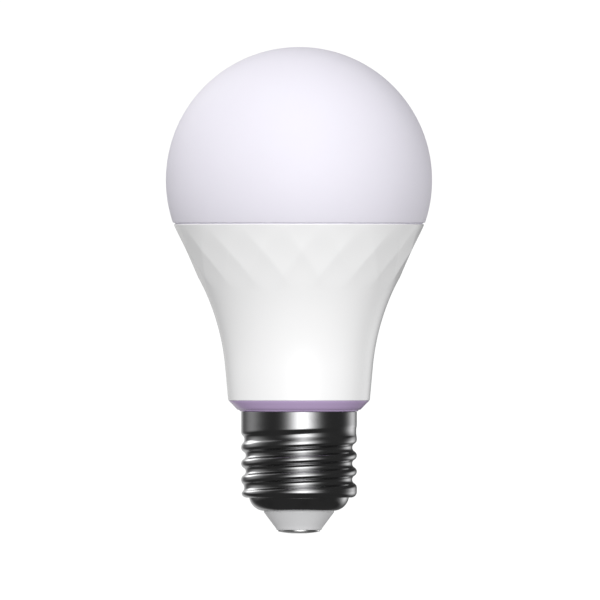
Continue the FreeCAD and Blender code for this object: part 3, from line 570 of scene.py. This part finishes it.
def make_globe(finishes):
    foot_z = RIM_Z + GLOBE_FOOT_GAP
    inner = GLOBE_RADIUS - GLOBE_WALL
    centre = (0.0, GLOBE_CENTRE_Z)
    low_angle = math.asin((foot_z - GLOBE_CENTRE_Z) / GLOBE_RADIUS)
    floor_z = RIM_Z + GLOBE_WALL
    floor_angle = math.asin((floor_z - GLOBE_CENTRE_Z) / inner)
    foot_radius = GLOBE_RADIUS * math.cos(low_angle)
    lip_low_z = GLOBE_LOW[2]
    outline = [
        *line((LIP_RADIUS - LIP_WALL, lip_low_z), (LIP_RADIUS, lip_low_z)),
        *line((LIP_RADIUS, lip_low_z), (LIP_RADIUS, RIM_Z)),
        *line((LIP_RADIUS, RIM_Z), (foot_radius - 0.6, RIM_Z)),
        *line((foot_radius - 0.6, RIM_Z), (foot_radius - 0.4, foot_z)),
        *line((foot_radius - 0.4, foot_z), (foot_radius - 0.1, foot_z)),
        *arc(centre, GLOBE_RADIUS, low_angle + 0.004, math.pi / 2, 90),
        (0.0, GLOBE_CENTRE_Z + GLOBE_RADIUS),
        (0.0, GLOBE_CENTRE_Z + inner),
        *arc(centre, inner, math.pi / 2 - 0.02, floor_angle, 60),
        *line((inner * math.cos(floor_angle), floor_z), (LIP_RADIUS - LIP_WALL, floor_z)),
        (LIP_RADIUS - LIP_WALL, floor_z),
    ]
    piece = turned("opal_globe", outline, finishes["opal_polycarbonate"], 192)
    stand_for(piece, "diffuser_globe")


def make_collar(finishes):
    bore_low = COLLAR_LOW[2]
    spigot = SHELL_RADIUS - THREAD_DEPTH - SHELL_WALL - FIT_GAP
    band_spigot = SHELL_RADIUS - SHELL_WALL - FIT_GAP
    sleeve = FOOT_RADIUS - HOUSING_WALL / math.cos(NECK_ANGLE) - FIT_GAP
    low_z = SHELL_TOP_Z + COLLAR_GAP
    edge = 0.12
    outline = [
        *line((COLLAR_BORE, bore_low), (spigot, bore_low)),
        *line((spigot, bore_low), (spigot, THREAD_HIGH_Z - THREAD_DEPTH)),
        *line((spigot, THREAD_HIGH_Z - THREAD_DEPTH), (band_spigot, THREAD_HIGH_Z)),
        *line((band_spigot, THREAD_HIGH_Z), (band_spigot, low_z)),
        *line((band_spigot, low_z), (COLLAR_FOOT - edge, low_z), 2),
        *arc((COLLAR_FOOT - edge, low_z + edge), edge, -math.pi / 2, -0.5, 4),
        *line((COLLAR_FOOT, low_z + edge), (COLLAR_FOOT + 0.05, low_z + 0.22), 2),
        *line((COLLAR_FOOT + 0.1, low_z + 0.26), (COLLAR_FOOT + 0.5, low_z + 0.36), 3),
        *line((COLLAR_FOOT + 0.6, low_z + 0.41), (COLLAR_TOP - 0.05, FOOT_Z - 0.14), 3),
        *arc((COLLAR_TOP - 0.1, FOOT_Z - 0.1), 0.1, -0.6, math.pi / 2, 5),
        *line((COLLAR_TOP - 0.1, FOOT_Z), (sleeve, FOOT_Z)),
        *line((sleeve, FOOT_Z), (sleeve, COLLAR_HIGH[2])),
        *line((sleeve, COLLAR_HIGH[2]), (COLLAR_BORE, COLLAR_HIGH[2])),
        (COLLAR_BORE, COLLAR_HIGH[2]),
    ]
    piece = turned("lilac_collar", outline, finishes["lilac_plastic"], 192)
    stand_for(piece, "collar_ring")


def make_insulator(finishes):
    bore = STEM_RADIUS + FIT_GAP
    neck = SHELL_MOUTH - FIT_GAP
    edge = 0.375
    rim_z = LIP_Z - INSULATOR_RIM
    outline = [
        *line((bore, CONTACT_HEIGHT), (INSULATOR_FOOT - edge, CONTACT_HEIGHT)),
        *arc((INSULATOR_FOOT - edge, CONTACT_HEIGHT + edge), edge, -math.pi / 2, -0.5, 5),
        *line((INSULATOR_FOOT, CONTACT_HEIGHT + edge), (INSULATOR_TOP - 0.05, rim_z - 0.07), 4),
        *line((INSULATOR_TOP, rim_z), (INSULATOR_TOP, LIP_Z)),
        *line((INSULATOR_TOP, LIP_Z), (neck, LIP_Z)),
        *line((neck, LIP_Z), (neck, INSULATOR_HIGH[2])),
        *line((neck, INSULATOR_HIGH[2]), (bore, INSULATOR_HIGH[2])),
        (bore, INSULATOR_HIGH[2]),
    ]
    piece = turned("contact_insulator", outline, finishes["grey_insulator"], 128)
    stand_for(piece, "base_insulator")


def make_contact(finishes):
    top = CONTACT_HIGH[2]
    across, rise = CONTACT_RADIUS - CONTACT_FLAT, CONTACT_EDGE
    chord = math.hypot(across, rise)
    lean = math.atan2(rise, across)
    half = math.asin(chord / 2 / CONTACT_DOME)
    centre = (
        CONTACT_FLAT - CONTACT_DOME * math.sin(lean - half),
        CONTACT_DOME * math.cos(lean - half),
    )
    edge = 0.08
    outline = [
        (0.0, 0.0),
        *arc(centre, CONTACT_DOME, lean - half - math.pi / 2, lean + half - math.pi / 2 - 0.005, 10),
        *arc((CONTACT_RADIUS - edge, CONTACT_EDGE + edge), edge, lean - math.pi / 2, 0, 4),
        *line((CONTACT_RADIUS, CONTACT_EDGE + edge), (CONTACT_RADIUS, CONTACT_HEIGHT)),
        *line((CONTACT_RADIUS, CONTACT_HEIGHT), (STEM_RADIUS, CONTACT_HEIGHT)),
        *line((STEM_RADIUS, CONTACT_HEIGHT), (STEM_RADIUS, top)),
        *line((STEM_RADIUS, top), (0.0, top)),
        (0.0, top),
    ]
    piece = turned("centre_contact_button", outline, finishes["contact_metal"], 128)
    stand_for(piece, "centre_contact")


def finish_nodes(finishes):
    """Every CAD node takes the finish that its material slot names."""
    for subpart in frame["record"]["subparts"]:
        node = frame["nodes"][subpart["node"]]
        for slot in node.material_slots:
            slot.material = finishes[subpart["material_slot"]]


# ---------------------------------------------------------------------------------------------
# Studio
# ---------------------------------------------------------------------------------------------


def make_floor():
    """A wide pale floor below the lamp."""
    half, level = 6.0, -0.08
    mesh = bpy.data.meshes.new("studio_floor")
    mesh.from_pydata([(-half, -half, level), (half, -half, level), (half, half, level), (-half, half, level)],
                     [], [(0, 1, 2, 3)])
    pale = new_material("pale_floor", lambda tree, place: {
        "Base Color": (0.95, 0.95, 0.95, 1.0), "Roughness": 0.9,
        "Emission Color": (1.0, 1.0, 1.0, 1.0), "Emission Strength": 1.2})
    mesh.materials.append(pale)
    floor = bpy.data.objects.new("studio_floor", mesh)
    floor.visible_glossy = False
    floor.visible_diffuse = False
    bpy.context.scene.collection.objects.link(floor)


def soft_light(name, place, aim, size, power):
    """A square softbox that lights the lamp but does not mirror in its metal."""
    lamp = bpy.data.lights.new(name, "AREA")
    lamp.shape = "SQUARE"
    lamp.size = size
    lamp.energy = power
    box = bpy.data.objects.new(name, lamp)
    box.location = place
    away = [a - b for a, b in zip(place, aim)]
    box.rotation_euler = (math.atan2(math.hypot(away[0], away[1]), away[2]), 0,
                          math.atan2(away[0], -away[1]))
    box.visible_glossy = False
    bpy.context.scene.collection.objects.link(box)


# Dome light: its level all round, what it gains overhead, in front and in three corners, and what the
# sides lose
DOME_LEVEL = 0.62
DOME_OVERHEAD = 0.25
DOME_IN_FRONT = 0.1
DOME_FRONT_RIGHT = 0.35
DOME_UPPER_LEFT = 0.25
DOME_UPPER_FRONT = 0.15
DOME_SIDE_LOSS = 0.2

BACKDROP = 1.05
MIRRORED_ROOM = 0.045


def make_world():
    """White behind the lamp, a dome that is brightest overhead, and soft panels for gloss to mirror."""
    world = bpy.data.worlds.new("studio")
    bpy.context.scene.world = world
    world.use_nodes = True
    tree = Tree(world.node_tree)
    way = tree.node("ShaderNodeSeparateXYZ", [tree.add("ShaderNodeTexCoord", output=0)])
    x, y, z = (Wire(tree, output) for output in way.outputs)
    turn = x.math("ARCTAN2", y * -1.0) * (180 / math.pi)
    climb = z.math("ARCSINE") * (180 / math.pi)

    def panel(strength, middle, width, low, high, soft):
        """A softbox at some degrees round from the front, between two heights in degrees."""
        away = (turn - middle) / width
        across = (away * away * -1.0).math("EXPONENT")
        lower, upper = climb.fade(low - soft, low + soft), climb.fade(high - soft, high + soft)
        return across * strength * lower * (1 - upper)

    front = panel(1.55, 7.4, 22.3, -16.0, 18.0, 8.0) + panel(1.3, 7.4, 22.3, -16.0, 72.0, 8.0)
    left = panel(0.45, -110.0, 25.0, -9.0, 90.0, 16.0)
    right = panel(1.22, 136.0, 18.5, -20.0, 5.0, 12.0)
    high_left = panel(3.0, -138.0, 17.0, 16.0, 45.0, 8.0)
    behind = panel(0.6, -166.0, 15.0, -30.0, 50.0, 15.0) + panel(0.6, 194.0, 15.0, -30.0, 50.0, 15.0)
    mirrored = front + left + right + high_left + behind + MIRRORED_ROOM
    seen = tree.node("ShaderNodeLightPath")
    camera_ray, glossy_ray = Wire(tree, seen.outputs[0]), Wire(tree, seen.outputs["Is Glossy Ray"])
    front_way = y * -1.0
    dome = z * DOME_OVERHEAD + front_way * DOME_IN_FRONT + DOME_LEVEL
    dome = dome + x * front_way * DOME_FRONT_RIGHT + z * front_way * DOME_UPPER_FRONT
    dome = dome - x * z * DOME_UPPER_LEFT - x * x * DOME_SIDE_LOSS
    unseen = glossy_ray * mirrored + (1 - glossy_ray) * dome.most(0.0)
    strength = camera_ray * BACKDROP + (1 - camera_ray) * unseen
    light = tree.add("ShaderNodeBackground", {"Color": (1.0, 1.0, 1.0, 1.0), "Strength": strength})
    tree.node("ShaderNodeOutputWorld", {"Surface": light})


def make_lights():
    middle = (0.0, 0.0, 0.06)
    soft_light("key_softbox", (-0.35, -1.15, 0.3), middle, 0.7, 7.35)
    soft_light("fill_softbox", (1.2, -0.7, 0.1), middle, 0.8, 2.3)


def make_camera():
    """A long level lens from the front.

    Past about 6.5 m, its angle is so narrow that views from other sides lie beyond their far clip.
    """
    distance, frame_width = 6.0, 0.1359
    lens = bpy.data.cameras.new("long_lens")
    lens.lens = lens.sensor_width * distance / frame_width
    lens.clip_end = 50.0
    camera = bpy.data.objects.new("camera", lens)
    camera.location = (0.00023, -distance, 0.05284)
    camera.rotation_euler = (math.pi / 2, 0, 0)
    bpy.context.scene.collection.objects.link(camera)
    bpy.context.scene.camera = camera
    bpy.context.scene.view_settings.view_transform = "Standard"


def main():
    make_camera()
    make_world()
    make_lights()
    make_floor()
    finishes = make_finishes()
    finish_nodes(finishes)
    make_globe(finishes)
    make_housing(finishes)
    make_collar(finishes)
    make_screw_shell(finishes)
    make_insulator(finishes)
    make_contact(finishes)


main()
